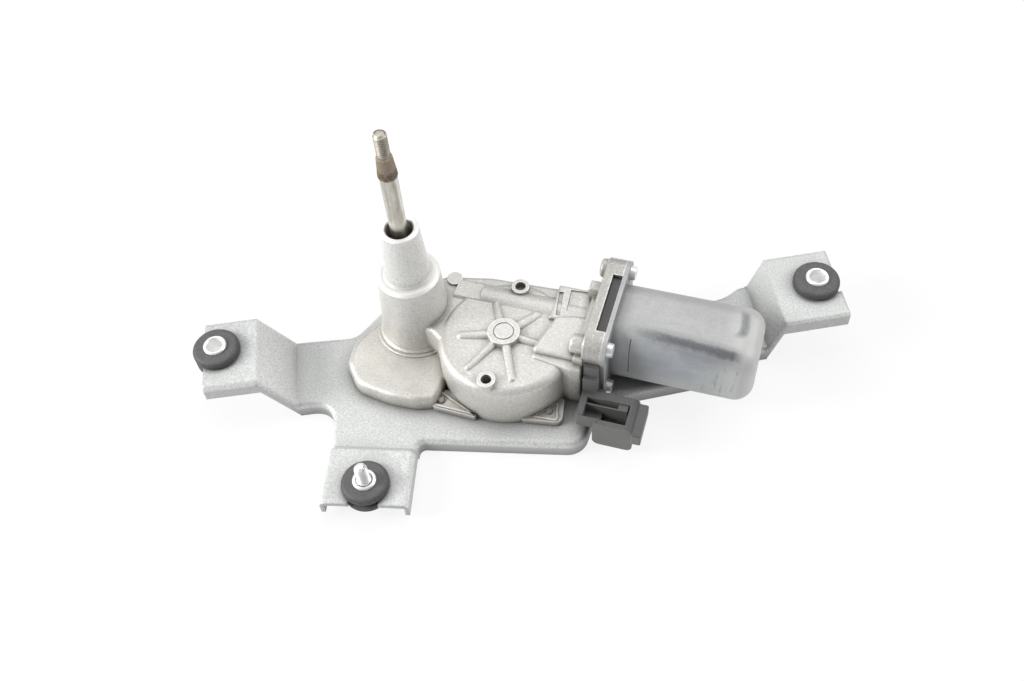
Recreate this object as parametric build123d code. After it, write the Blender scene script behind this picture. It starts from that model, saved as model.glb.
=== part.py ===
from build123d import *
import os
from math import sin, cos, tan, pi, radians, degrees, atan2, hypot, sqrt, acos

# Rear wiper motor, lengths in mm.
# Working axes while modelling: Z up along the output shaft, X along the motor,
# z = 0 on top of the middle of the bracket, x = y = 0 on the output shaft.
# Every finished piece is then moved by ORIGIN so the whole part stands on z = 0,
# centred in plan.
ORIGIN = (-52.845, 8.775, 8.0)

# ---------------------------------------------------------------- bracket
SHEET = 2.0            # pressed steel sheet
RIM = 8.0              # depth of the turned-down rim, from the top face
BEND = 3.0             # outer bend radius of the rim
CREASE = 1.0           # inner bend radius
# (direction in plan, bend start, bend end, tip, rise, middle line, width,
#  seat of the sleeve: back from the tip and off the middle line)
ARM_L = dict(ang=203.5, s0=61.3, s1=75.7, tip=100.8, rise=24.0, mid=14.2, w=39.0, seat=(6.40, -1.49))
ARM_R = dict(ang=25.2, s0=164.5, s1=170.8, tip=201.8, rise=19.0, mid=-21.2, w=40.5, seat=(10.47, 0.57))
ARM_F = dict(ang=-77.6, s0=66.0, s1=69.0, tip=97.6, rise=4.0, mid=-13.7, w=40.5, seat=(10.15, -0.20))

# ---------------------------------------------------------------- grommets
SLEEVE_R, SLEEVE_BORE = 5.4, 3.75
SLEEVE_UP, SLEEVE_DOWN = 5.5, 6.5      # above and below the pad's top face
GROMMET_R, GROOVE_R = 11.0, 7.6
GROMMET_UP, GROMMET_DOWN = 4.2, 6.0

# ---------------------------------------------------------------- output shaft and tower
SHAFT_R = 4.0
SHAFT_LOW, SHAFT_TOP = 0.9, 136.3
THREAD_LOW, THREAD_R = 124.0, 3.0
KNURL_LOW, KNURL_R0, KNURL_R1 = 110.6, 4.45, 3.5
TOWER_BASE_R, TOWER_SHOULDER_R, TOWER_NECK_R, TOWER_TOP_R = 17.3, 14.8, 10.8, 8.85
TOWER_SHOULDER, TOWER_TOP = 48.9, 79.2
TOWER_BORE = 6.1
BUSH_LOW = (12.0, 26.0)
BUSH_HIGH = (50.0, 63.0)

# ---------------------------------------------------------------- gears
WHEEL = (47.2, -7.5)          # worm wheel axis
AXIS_Y, AXIS_Z = 13.7, 18.5   # motor axis
WORM_M, WHEEL_N = 0.8, 42
WORM_PITCH_R = 4.4
WORM_LEAD = pi * WORM_M
WHEEL_PITCH_R = WORM_M * WHEEL_N / 2
WHEEL_Z = (15.3, 21.7)
WHEEL_BOSS_LOW = 10.0
GEAR_M, PINION_N, SECTOR_N = 1.5, 10, 32
GEAR_D = GEAR_M * (PINION_N + SECTOR_N) / 2
SECTOR = (12.0, -sqrt(GEAR_D ** 2 - 12.0 ** 2))
SECTOR_Z = (1.2, 5.2)
ARM_LEN, ARM_ANG = 27.5, 88.75
CRANK_R, ROD_LEN = 8.55, 26.55
ROD_Z = (6.2, 9.2)
ARM_PIN = (SECTOR[0] + ARM_LEN * cos(radians(ARM_ANG)), SECTOR[1] + ARM_LEN * sin(radians(ARM_ANG)))
ROD_ANG = atan2(WHEEL[1] - ARM_PIN[1], WHEEL[0] - ARM_PIN[0])
CRANK = (ARM_PIN[0] + ROD_LEN * cos(ROD_ANG), ARM_PIN[1] + ROD_LEN * sin(ROD_ANG))

# ---------------------------------------------------------------- housing
BASE = 0.5                    # gasket thickness under the housing
WALL = 3.0
LOBE_TOP, LOBE_ROOF = 8.0, 5.9
CHAMBER = (48.5, -7.5)
CHAMBER_R, CHAMBER_TOP, CHAMBER_ROOF = 32.5, 25.4, 23.2
HUB_TOP = 28.3
BOSS_PITCH, BOSS_TOP, BOSS_R, BOSS_HOLE = 27.5, 28.0, 4.3, 2.5
TUNNEL_R, TUNNEL_BORE = 8.6, 6.0
FLANGE_X = (86.0, 95.0)
FLANGE_Y, FLANGE_Z = (-15.3, 42.7), (0.6, 39.5)
FLANGE_CORNER = 8.0
SLOT_X, SLOT_Y = (90.4, 95.0), (-4.5, 28.7)
COVER_SCREWS = [(23.7, -36.7, 4.6), (74.5, -29.8, 4.6), (14.5, 18.6, 12.0), (79.5, 31.5, 12.0)]
STUD_TOP = 26.0

# ---------------------------------------------------------------- motor
YOKE_X = (95.0, 163.2)
YOKE_W, YOKE_H, YOKE_CORNER, YOKE_WALL = 39.0, 35.0, 11.5, 1.6
END_ROUND = 9.0           # how far the closed end of the can is rounded
FLANGE_PLATE = 2.0
FLANGE_SCREW = (23.0, 14.5)   # half spacing in Y and Z about the motor axis
SHAFT2_R = 3.0


def at(x, y, z, solid):
    return Pos(x, y, z) * solid


def cyl(x, y, z0, z1, r, r1=None):
    """Upright cylinder or cone between two heights."""
    body = Cylinder(r, z1 - z0) if r1 is None else Cone(r, r1, z1 - z0)
    return Pos(x, y, (z0 + z1) / 2) * body


def tube(x, y, z0, z1, r, bore):
    return cyl(x, y, z0, z1, r) - cyl(x, y, z0 - 1, z1 + 1, bore)


def xcyl(x0, x1, y, z, r, r1=None):
    """Cylinder or cone lying along X."""
    body = Cylinder(r, x1 - x0) if r1 is None else Cone(r, r1, x1 - x0)
    return Pos((x0 + x1) / 2, y, z) * Rot(0, 90, 0) * body


def box(x0, x1, y0, y1, z0, z1):
    return Pos((x0 + x1) / 2, (y0 + y1) / 2, (z0 + z1) / 2) * Box(x1 - x0, y1 - y0, z1 - z0)


def outline(corners):
    """Closed face from corners (x, y, radius); each corner is rounded."""
    n, parts = len(corners), []
    ends = []
    for i in range(n):
        x, y, r = corners[i]
        ax, ay = corners[i - 1][0] - x, corners[i - 1][1] - y
        bx, by = corners[(i + 1) % n][0] - x, corners[(i + 1) % n][1] - y
        la, lb = hypot(ax, ay), hypot(bx, by)
        ax, ay, bx, by = ax / la, ay / la, bx / lb, by / lb
        if r <= 0:
            ends.append(((x, y), None, (x, y)))
            continue
        half = acos(max(-1, min(1, ax * bx + ay * by))) / 2
        t = r / tan(half)
        mx, my = ax + bx, ay + by
        lm = hypot(mx, my)
        d = r / sin(half) - r
        ends.append(((x + ax * t, y + ay * t), (x + mx / lm * d, y + my / lm * d), (x + bx * t, y + by * t)))
    for i in range(n):
        p, m, q = ends[i]
        if m is not None:
            parts.append(ThreePointArc(p, m, q))
        nxt = ends[(i + 1) % n][0]
        if hypot(nxt[0] - q[0], nxt[1] - q[1]) > 1e-6:
            parts.append(Line(q, nxt))
    return make_face(Wire(parts))


def prism(corners, z0, z1):
    return Pos(0, 0, z0) * extrude(outline(corners), z1 - z0)


def inset(corners, d):
    """Corners moved inward by d (corners run anticlockwise)."""
    n, out = len(corners), []
    for i in range(n):
        x, y, r = corners[i]
        px, py, _ = corners[i - 1]
        qx, qy, _ = corners[(i + 1) % n]
        ux, uy = x - px, y - py
        vx, vy = qx - x, qy - y
        lu, lv = hypot(ux, uy), hypot(vx, vy)
        ux, uy, vx, vy = ux / lu, uy / lu, vx / lv, vy / lv
        nx, ny = -uy - vy, ux + vx
        k = d * 2 / (nx * nx + ny * ny)
        turn = ux * vy - uy * vx
        out.append((x + nx * k, y + ny * k, max(0.0, r - d) if turn > 0 else r + d))
    return out


def soften(body, r, pick):
    """Round the picked edges; a radius that will not go on is halved once."""
    for radius in (r, r * 0.6, r * 0.3):
        try:
            done = fillet(pick(body), radius)
            if done.is_valid and done.volume > 0:
                return done
        except Exception:
            continue
    return body


# ================================================================= bracket
def arm_frame(a):
    return Rot(0, 0, a["ang"])


def arm_shape(a, low, up, half, s_in, s_out, radius):
    """Side profile of an arm carried across its width; local X runs outward."""
    s0, s1, h = a["s0"], a["s1"], a["rise"]
    top = [(s_in, up), (s0, up), (s1, h + up), (s_out, h + up)]
    bot = [(x, z - low) for x, z in top]
    pts = top + bot[::-1]
    face = make_face(Polyline(*[(x, z) for x, z in pts], close=True))
    body = extrude(Plane.XZ * face, half, both=True)
    body = Pos(0, a["mid"], 0) * body
    if radius:
        side = lambda b: [e for e in b.edges() if abs(abs(e.center().Y - a["mid"]) - half) < 1e-3
                          and any(abs(e.center().Z - ((p[1] + q[1]) / 2)) < 1e-3 and abs(e.center().X - (p[0] + q[0]) / 2) < 1e-3
                                  for p, q in zip(top, top[1:]))]
        body = soften(body, radius, side)
    return arm_frame(a) * body


def arm_point(a, s, n):
    c, d = cos(radians(a["ang"])), sin(radians(a["ang"]))
    return (s * c - n * d, s * d + n * c)


def seat(a):
    """Centre of the sleeve in an arm."""
    return arm_point(a, a["tip"] - a["seat"][0], a["mid"] + a["seat"][1])


def arm_side(a, s, side):
    """Corner on one side line of an arm, s from the output axis."""
    return arm_point(a, s, a["mid"] + side * a["w"] / 2)


LAP = 0.3              # the plate runs this far past each bend start


def bracket_outline():
    root = lambda a, side: (*arm_side(a, a["s0"] + LAP, side), 0)
    turn = lambda a, side, back, r: (*arm_side(a, a["s0"] - back, side), r)
    return [
        root(ARM_L, 1), turn(ARM_L, 1, 6, 5), (-27.5, -49.8, 9), turn(ARM_F, -1, 4, 5), root(ARM_F, -1),
        root(ARM_F, 1), turn(ARM_F, 1, 4.3, 3.2), (94.0, -42.3, 10), (95.2, -15.4, 8),
        (160.5, 19.0, 5), turn(ARM_R, -1, 3.5, 1.5), root(ARM_R, -1),
        root(ARM_R, 1), turn(ARM_R, 1, 4, 6), (139.0, 57.6, 20),
        (58.0, 34.5, 60), (-19.5, 21.0, 12), (-31.5, -9.5, 9), turn(ARM_L, -1, 4, 4), root(ARM_L, -1),
    ]


def mounting_bracket():
    corners = bracket_outline()
    plate = prism(corners, -RIM, 0)
    ends = [arm_point(a, a["s0"] + LAP, a["mid"]) for a in (ARM_L, ARM_R, ARM_F)]
    rim = lambda b: [e for e in b.faces().sort_by(Axis.Z)[-1].edges()
                     if min(hypot(e.center().X - x, e.center().Y - y) for x, y in ends) > 1]
    plate = soften(plate, BEND, rim)
    hollow = prism(inset(corners, SHEET), -RIM - 1, -SHEET)
    body, space = plate, hollow
    for a in (ARM_L, ARM_R, ARM_F):
        lean = tan(atan2(a["rise"], a["s1"] - a["s0"]) / 2)
        body += arm_shape(a, RIM, 0, a["w"] / 2, a["s0"] - 2 * LAP, a["tip"], BEND)
        inner = dict(a)
        inner["s0"], inner["s1"] = a["s0"] + SHEET * lean, a["s1"] + SHEET * lean
        space += arm_shape(inner, RIM + 1, -SHEET, a["w"] / 2 - SHEET, a["s0"] - 6, a["tip"] + 5, 0)
    body -= space
    for a in (ARM_L, ARM_R, ARM_F):
        x, y = seat(a)
        s, n = a["tip"] - a["seat"][0], a["mid"] + a["seat"][1]
        notch = cyl(x, y, a["rise"] - 5, a["rise"] + 2, GROOVE_R)
        slot = arm_frame(a) * box(s, a["tip"] + 2, n - GROOVE_R + 0.8, n + GROOVE_R - 0.8, a["rise"] - 5, a["rise"] + 2)
        body -= notch + slot
    for x, y, _ in COVER_SCREWS:
        body -= cyl(x, y, -5, 1, 2.3)
    body -= cyl(SECTOR[0], SECTOR[1], -5, 1, 3.0)
    body -= cyl(157.5, 27.0, -5, 1, 2.2)          # locating hole beside the right bend
    return body


# ================================================================= mounts
def grommet(a):
    x, y = seat(a)
    h = a["rise"]
    low, high = h - SHEET, h
    prof = [(SLEEVE_R, h - GROMMET_DOWN), (GROMMET_R - 1.6, h - GROMMET_DOWN), (GROMMET_R, h - GROMMET_DOWN + 1.4),
            (GROMMET_R, low - 0.9), (GROMMET_R - 0.8, low), (GROOVE_R, low), (GROOVE_R, high),
            (GROMMET_R - 0.8, high), (GROMMET_R, high + 0.9), (GROMMET_R, high + 2.2),
            (GROMMET_R - 1.8, high + GROMMET_UP), (SLEEVE_R, high + GROMMET_UP)]
    return Pos(x, y, 0) * revolve(Plane.XZ * make_face(Polyline(*prof, close=True)), Axis.Z)


def sleeve(a):
    x, y = seat(a)
    z0, z1 = a["rise"] - SLEEVE_DOWN, a["rise"] + SLEEVE_UP
    prof = [(SLEEVE_BORE, z0 + 0.4), (SLEEVE_BORE + 0.4, z0), (SLEEVE_R - 0.3, z0), (SLEEVE_R, z0 + 0.3),
            (SLEEVE_R, z1 - 0.5), (SLEEVE_R - 0.5, z1), (SLEEVE_BORE + 0.4, z1), (SLEEVE_BORE, z1 - 0.4)]
    return Pos(x, y, 0) * revolve(Plane.XZ * make_face(Polyline(*prof, close=True)), Axis.Z)


BOLT_TOP = ARM_F["rise"] + SLEEVE_UP + 11.5
BOLT_NECK = ARM_F["rise"] + SLEEVE_UP + 0.2
BOLT_R = 3.0
BOLT_SHANK_R = 3.4     # plain shank inside the sleeve


def mounting_bolt():
    """Bolt standing in the front sleeve, head underneath, free end up."""
    x, y = seat(ARM_F)
    z = ARM_F["rise"] - SLEEVE_DOWN
    prof = [(0, z - 5.2), (4.0, z - 5.2), (5.0, z - 4.6), (5.0, z - 1.4), (7.4, z - 1.0), (7.4, z), (BOLT_SHANK_R, z),
            (BOLT_SHANK_R, BOLT_NECK - 0.4), (BOLT_R, BOLT_NECK), (BOLT_R, BOLT_TOP - 2.2), (BOLT_R - 0.35, BOLT_TOP - 1.3), (BOLT_R - 1.1, BOLT_TOP - 0.4), (BOLT_R - 2.2, BOLT_TOP), (0, BOLT_TOP)]
    bolt = revolve(Plane.XZ * make_face(Polyline(*prof, close=True)), Axis.Z)
    hexagon = Pos(0, 0, z - 6) * extrude(RegularPolygon(4.9, 6), 4.8) + cyl(0, 0, z - 1.25, 60, 9)
    return Pos(x, y, 0) * (bolt & hexagon)


# ================================================================= housing
LOBE = [(-21.0, -4.0, 10), (-27.5, -17.0, 8), (-26.8, -29.5, 9), (-17.5, -40.6, 12), (0.0, -43.4, 30), (13.0, -42.8, 14),
        (22.5, -39.5, 4), (23.0, -28.0, 1), (30.0, -20.0, 1), (24.0, 12.0, 4), (10.0, 19.0, 6), (-12.0, 15.0, 12)]
BACK = [(5.0, -12.0, 2), (14.0, -14.0, 4), (22.0, -20.0, 2), (40.0, -30.0, 2), (86.0, -15.3, 2), (86.0, 27.2, 1),
        (56.5, 25.8, 30), (31.6, 24.8, 20), (9.5, 20.2, 3), (1.0, 12.5, 3)]
BACK_TOP = 24.8
HOLDER_Z = (7.4, 28.0)      # the brush holder's neck
NECK = [(62.3, -14.9, 2), (63.9, -8.3, 3), (68.5, 7.0, 3), (77.5, 9.5, 2), (87.0, 9.5, 1), (87.0, -15.0, 1)]
NECK_TOP, SHELF_TOP, STEP_TOP = 28.9, 27.4, 26.4
COLLAR_Y = (-16.2, 26.6)
CREST_CUT = 30.0            # left of this the tunnel is cut down to a flat
EAR_TOP = 3.4


def tower_outside():
    prof = [(0, BASE), (TOWER_BASE_R + 0.3, BASE), (TOWER_BASE_R + 1.2, LOBE_TOP + 1.4), (TOWER_BASE_R + 0.2, LOBE_TOP + 2.4),
            (TOWER_BASE_R - 0.5, LOBE_TOP + 5.5), (TOWER_SHOULDER_R, TOWER_SHOULDER - 1.2),
            (TOWER_SHOULDER_R - 1.2, TOWER_SHOULDER), (TOWER_NECK_R + 0.8, TOWER_SHOULDER + 0.3), (TOWER_NECK_R, TOWER_SHOULDER + 1.6),
            (TOWER_TOP_R, TOWER_TOP - 0.5), (TOWER_TOP_R - 0.5, TOWER_TOP), (0, TOWER_TOP)]
    return revolve(Plane.XZ * make_face(Polyline(*prof, close=True)), Axis.Z)


def star_rib(ang, reach, r=2.3):
    """Round-backed rib that falls from the hub to the roof of the chamber."""
    z0, z1 = HUB_TOP - r - 0.2, CHAMBER_TOP + 1.3 - r
    length, drop = hypot(reach - 3.0, z0 - z1), degrees(atan2(z0 - z1, reach - 3.0))
    bar = Pos(3.0, 0, z0) * Rot(0, 90 + drop, 0) * (Pos(0, 0, length / 2) * Cylinder(r, length) + Pos(0, 0, length) * Sphere(r))
    return Pos(WHEEL[0], WHEEL[1], 0) * Rot(0, 0, ang) * bar


def gear_housing():
    lobe = prism(LOBE, BASE, LOBE_TOP)
    lobe = soften(lobe, 3.4, lambda b: b.faces().sort_by(Axis.Z)[-1].edges())
    ring = soften(cyl(0, 0, BASE, LOBE_TOP + 0.9, TOWER_BASE_R + 2.9), 0.5, lambda b: b.faces().sort_by(Axis.Z)[-1].edges())
    lobe += ring & prism(inset(LOBE, 3.4), BASE, TOWER_TOP)
    chamber = cyl(CHAMBER[0], CHAMBER[1], BASE, CHAMBER_TOP, CHAMBER_R)
    chamber = soften(chamber, 4.2, lambda b: b.faces().sort_by(Axis.Z)[-1].edges())
    back = prism(BACK, BASE, BACK_TOP)
    back = soften(back, 2.4, lambda b: b.faces().sort_by(Axis.Z)[-1].edges())
    tunnel = xcyl(17.0, FLANGE_X[0] + 1, AXIS_Y, AXIS_Z, TUNNEL_R)
    tunnel -= box(10.0, CREST_CUT, AXIS_Y - 12, AXIS_Y + 12, AXIS_Z + TUNNEL_R - 1.2, 40)
    neck = soften(prism(NECK, BASE, NECK_TOP), 2.0, lambda b: b.faces().sort_by(Axis.Z)[-1].edges())
    step = prism([(62.7, -17.0, 2), (81.6, -19.8, 2), (87.0, -19.0, 1), (87.0, -10.0, 1), (63.5, -10.0, 1)], BASE, STEP_TOP)
    neck += soften(step, 1.2, lambda b: b.faces().sort_by(Axis.Z)[-1].edges())
    shelf = soften(box(65.0, 87.0, 6.0, COLLAR_Y[1] - 0.4, BASE, SHELF_TOP), 1.4, lambda b: b.faces().sort_by(Axis.Z)[-1].edges())
    shelf -= Pos(68.0, 15.0, SHELF_TOP) * Rot(0, 0, 8) * Box(2.2, 14.0, 1.8)
    shelf -= Pos(76.2, 18.2, SHELF_TOP) * Rot(0, 0, 4) * Box(9.2, 12.6, 1.4)
    neck += shelf
    neck += soften(box(80.6, 87.0, 20.6, 26.4, BASE, 35.6), 1.0, lambda b: b.faces().sort_by(Axis.Z)[-1].edges())
    for side, x0 in ((-1, 79.8), (1, 82.6)):
        post = xcyl(x0, 87.0, AXIS_Y + side * FLANGE_SCREW[0], AXIS_Z + FLANGE_SCREW[1], 4.6)
        neck += soften(post, 1.6, lambda b: b.faces().sort_by(Axis.X)[0].edges())
    collar = box(82.4, 87.0, COLLAR_Y[0], COLLAR_Y[1], BASE, NECK_TOP + 1.9)
    collar = soften(collar, 1.2, lambda b: b.faces().sort_by(Axis.Z)[-1].edges())
    flange = box(FLANGE_X[0], FLANGE_X[1], FLANGE_Y[0], FLANGE_Y[1], FLANGE_Z[0], FLANGE_Z[1])
    flange = soften(flange, FLANGE_CORNER, lambda b: b.edges().filter_by(Axis.X))
    flange = soften(flange, 0.8, lambda b: b.faces().sort_by(Axis.X)[0].edges())
    body = lobe + chamber + back + tunnel + neck + collar + flange + tower_outside()
    # bosses, star hub and its ribs
    for dy in (BOSS_PITCH, -BOSS_PITCH):
        body += cyl(WHEEL[0], WHEEL[1] + dy, BASE, BOSS_TOP, BOSS_R + 0.5, BOSS_R)
    body += cyl(WHEEL[0], WHEEL[1], CHAMBER_ROOF, HUB_TOP, 8.4, 7.6)
    for ang, reach, r in ((118.5, 18, 2.2), (52, 19, 2.9), (195, 20, 2.8), (244, 24, 2.2), (295, 25, 2.2), (-4, 19, 2.4)):
        body += star_rib(ang, reach, r)
    # ears and screw posts
    body += prism([(18.3, -40.9, 2.5), (43.5, -41.5, 1), (36.0, -34.0, 1), (24.0, -30.0, 1)], BASE, EAR_TOP)
    body += prism([(62.5, -37.2, 1), (82.0, -34.2, 3.5), (79.5, -20.0, 1.5), (66.0, -28.0, 1)], BASE, EAR_TOP)
    body += cyl(COVER_SCREWS[2][0], COVER_SCREWS[2][1], BASE, STUD_TOP, 4.2, 3.8)
    body += cyl(COVER_SCREWS[3][0], COVER_SCREWS[3][1], BASE, 16.0, 4.6, 4.3) + box(74.9, 84.1, 22.0, 31.5, BASE, 16.0)
    # hollows
    body -= prism(inset(LOBE, WALL), -1, LOBE_ROOF)
    hollow = cyl(CHAMBER[0], CHAMBER[1], -1, CHAMBER_ROOF, CHAMBER_R - WALL)
    for dy in (BOSS_PITCH, -BOSS_PITCH):
        hollow -= cyl(WHEEL[0], WHEEL[1] + dy, 3.0, BOSS_TOP, BOSS_R)
    body -= hollow
    body -= prism([(6.5, -12.0, 3), (34.0, -16.0, 3), (34.0, 6.0, 3), (9.5, 6.0, 3)], -1, 10.6)
    body += cyl(WHEEL[0], WHEEL[1], 22.4, HUB_TOP - 0.6, 7.0)                     # spindle boss under the roof
    body += tube(0, 0, LOBE_ROOF + 0.3, 14.0, TOWER_BASE_R - 1.5, 9.6) & box(-20, 7.2, -20, 20, 0, 20)
    body -= xcyl(19.4, 96.0, AXIS_Y, AXIS_Z, TUNNEL_BORE)
    body -= xcyl(74.0, 96.0, AXIS_Y, AXIS_Z, 5.5 + 1.4)
    # tower bore, spindle hole, pin hole, threaded holes
    body -= cyl(0, 0, -1, 10.6, 9.6) + cyl(0, 0, 5, TOWER_TOP + 1, TOWER_BORE)
    body -= cyl(0, 0, TOWER_TOP - 0.6, TOWER_TOP + 0.1, TOWER_BORE, TOWER_BORE + 0.7)
    body -= cyl(WHEEL[0], WHEEL[1], 10, HUB_TOP - 1.2, 4.0)
    body -= tube(WHEEL[0], WHEEL[1], HUB_TOP - 0.4, HUB_TOP + 1, 5.0, 4.4)
    body -= cyl(SECTOR[0], SECTOR[1], 0, LOBE_TOP - 0.8, 3.0)
    body -= cyl(WHEEL[0], WHEEL[1] + BOSS_PITCH, 24.6, BOSS_TOP + 1, BOSS_HOLE)
    body -= cyl(WHEEL[0], WHEEL[1] - BOSS_PITCH, 14.0, BOSS_TOP + 1, BOSS_HOLE)
    for x, y, depth in COVER_SCREWS:
        body -= cyl(x, y, -1, depth + (2 if depth > 5 else 0), 2.0)
    # pocket for the brush holder, open at the top and toward the connector
    body -= box(SLOT_X[0], SLOT_X[1] + 1, SLOT_Y[0], SLOT_Y[1], 3.5, FLANGE_Z[1] + 1)
    body -= box(SLOT_X[0] - 2.4, SLOT_X[1] + 1, FLANGE_Y[0] - 2, SLOT_Y[0] + 2, HOLDER_Z[0] - 0.2, HOLDER_Z[1] + 0.2)
    for dy, dz in flange_spots():
        body -= xcyl(84.0, 96.0, AXIS_Y + dy, AXIS_Z + dz, 2.0)
    body -= box(86.0 - 0.1, 88.0, 20.0, 26.0, 31.5, 33.0)
    return body


def flange_spots():
    return [(a * FLANGE_SCREW[0], b * FLANGE_SCREW[1]) for a in (-1, 1) for b in (-1, 1)]


def housing_gasket():
    body = prism(inset(LOBE, 0.4), 0, BASE) + cyl(CHAMBER[0], CHAMBER[1], 0, BASE, CHAMBER_R - 0.4)
    body += prism(inset(BACK, 0.4), 0, BASE)
    body -= prism(inset(LOBE, WALL), -1, 1) + cyl(CHAMBER[0], CHAMBER[1], -1, 1, CHAMBER_R - WALL)
    body -= cyl(0, 0, -1, 1, 9.6) + prism([(6.5, -12.0, 3), (34.0, -16.0, 3), (34.0, 6.0, 3), (9.5, 6.0, 3)], -1, 1)
    for x, y, _ in COVER_SCREWS:
        body -= cyl(x, y, -1, 1, 2.6)
    return max(body.solids(), key=lambda s: s.volume)


def cover_screws():
    """Screws from below through the bracket into the housing."""
    group = []
    for x, y, tip in COVER_SCREWS:
        prof = [(0, -SHEET - 2.6), (2.6, -SHEET - 2.6), (3.6, -SHEET - 1.6), (3.9, -SHEET), (2.0, -SHEET), (2.0, tip - 1.2), (1.3, tip), (0, tip)]
        screw = revolve(Plane.XZ * make_face(Polyline(*prof, close=True)), Axis.Z)
        screw -= Pos(0, 0, -SHEET - 2.6) * Box(3.6, 0.9, 2.4) + Pos(0, 0, -SHEET - 2.6) * Box(0.9, 3.6, 2.4)
        group.append(Pos(x, y, 0) * screw)
    return group


# ================================================================= output line
def output_shaft():
    prof = [(0, SHAFT_LOW), (SHAFT_R - 0.4, SHAFT_LOW), (SHAFT_R, SHAFT_LOW + 0.4), (SHAFT_R, RING_Z), (3.6, RING_Z), (3.6, RING_Z + 1.1),
            (SHAFT_R, RING_Z + 1.1), (SHAFT_R, KNURL_LOW - 0.8), (KNURL_R0, KNURL_LOW), (KNURL_R1, THREAD_LOW - 1.4),
            (2.6, THREAD_LOW - 1.2), (2.6, THREAD_LOW), (THREAD_R, THREAD_LOW + 0.4), (THREAD_R, SHAFT_TOP - 0.9), (2.2, SHAFT_TOP), (0, SHAFT_TOP)]
    return revolve(Plane.XZ * make_face(Polyline(*prof, close=True)), Axis.Z)


RING_Z = 64.2


def output_pinion():
    low, high = SECTOR_Z[0], SECTOR_Z[1]
    body = Pos(0, 0, low) * extrude(gear_face(GEAR_M, PINION_N, PINION_PHASE), high - low)
    body += cyl(0, 0, high, 9.8, 6.2)
    return body - cyl(0, 0, 0, 12, SHAFT_R)


def tower_bushes():
    return [tube(0, 0, BUSH_LOW[0], BUSH_LOW[1], TOWER_BORE, SHAFT_R + 0.03), tube(0, 0, BUSH_HIGH[0], BUSH_HIGH[1], TOWER_BORE, SHAFT_R + 0.03)]


def thrust_washers():
    return [tube(0, 0, 9.85, 10.55, 7.4, SHAFT_R + 0.05), tube(0, 0, 63.1, 64.1, 5.9, SHAFT_R + 0.05)]


def retaining_ring():
    ring = tube(0, 0, RING_Z + 0.05, RING_Z + 1.05, 5.3, 3.62)
    return ring - box(-0.9, 0.9, 2.0, 8.0, RING_Z - 1, RING_Z + 2)


def shaft_seal():
    prof = [(SHAFT_R + 0.05, 68.4), (SHAFT_R + 0.05, 69.4), (5.0, 70.4), (TOWER_BORE, 70.4), (TOWER_BORE, 66.6), (5.2, 66.6), (5.2, 67.8)]
    return revolve(Plane.XZ * make_face(Polyline(*prof, close=True)), Axis.Z)


# ================================================================= gears
PRESSURE = radians(25)
ADD, DED = 0.8, 1.1
BACKLASH = 0.24
MESH_ANG = degrees(atan2(-SECTOR[1], -SECTOR[0]))       # from the sector pin to the output shaft
PINION_PHASE = MESH_ANG + 180 + 180 / PINION_N          # a gap faces the sector pin


def flank(m, n, steps=4):
    """Half tooth of an involute gear as (radius, half angle) from root to tip."""
    rp = m * n / 2
    rb = rp * cos(PRESSURE)
    half_pitch = (pi * m / 2 - BACKLASH) / (2 * rp)
    inv = lambda r: sqrt(max(0.0, (r / rb) ** 2 - 1)) - acos(min(1.0, rb / r))
    tip, root = rp + ADD * m, rp - DED * m
    start = max(root, rb)
    rows = []
    if root < rb:
        rows.append((root, half_pitch + inv(rp)))
    for i in range(steps + 1):
        r = start + (tip - start) * i / steps
        rows.append((r, half_pitch + inv(rp) - inv(r)))
    return rows


def gear_face(m, n, phase, teeth=None):
    rows, pts = flank(m, n), []
    for k in (range(n) if teeth is None else teeth):
        c = radians(phase) + 2 * pi * k / n
        for r, a in rows:
            pts.append((r * cos(c - a), r * sin(c - a)))
        for r, a in reversed(rows):
            pts.append((r * cos(c + a), r * sin(c + a)))
    return make_face(Polyline(*pts, close=True))


def sector_gear():
    """Toothed sector with the arm that the connecting rod pushes."""
    low, high = SECTOR_Z
    root = GEAR_M * SECTOR_N / 2 - DED * GEAR_M
    rows, pts = flank(GEAR_M, SECTOR_N), [(0.0, 0.0)]
    for k in range(-1, 5):
        c = radians(MESH_ANG) + 2 * pi * k / SECTOR_N
        for r, a in rows:
            pts.append((r * cos(c - a), r * sin(c - a)))
        for r, a in reversed(rows):
            pts.append((r * cos(c + a), r * sin(c + a)))
    body = extrude(make_face(Polyline(*pts, close=True)), high - low)
    body += cyl(0, 0, 0, high - low, 6.0)
    arm = Rot(0, 0, ARM_ANG) * (box(0, ARM_LEN, -2.9, 2.9, 0, high - low) + cyl(ARM_LEN, 0, 0, high - low, 3.5))
    body += arm
    body -= cyl(0, 0, -1, high, 3.05)
    window = Rot(0, 0, MESH_ANG + 17) * (box(12.0, 17.5, -3.5, 3.5, -1, high))
    body -= soften(window, 1.5, lambda b: b.edges().filter_by(Axis.Z))
    body -= Rot(0, 0, ARM_ANG) * cyl(ARM_LEN, 0, -1, high, 2.0)
    return Pos(SECTOR[0], SECTOR[1], low) * body


def sector_pin():
    return cyl(SECTOR[0], SECTOR[1], -SHEET, LOBE_TOP - 0.8, 3.0)


def arm_pin():
    body = cyl(ARM_PIN[0], ARM_PIN[1], SECTOR_Z[0], ROD_Z[0], 2.0) + cyl(ARM_PIN[0], ARM_PIN[1], SECTOR_Z[1], ROD_Z[0], 3.2)
    return body + cyl(ARM_PIN[0], ARM_PIN[1], ROD_Z[0], ROD_Z[1] + 0.2, 2.4) + cyl(ARM_PIN[0], ARM_PIN[1], ROD_Z[1] + 0.2, ROD_Z[1] + 0.9, 3.0)


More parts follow.
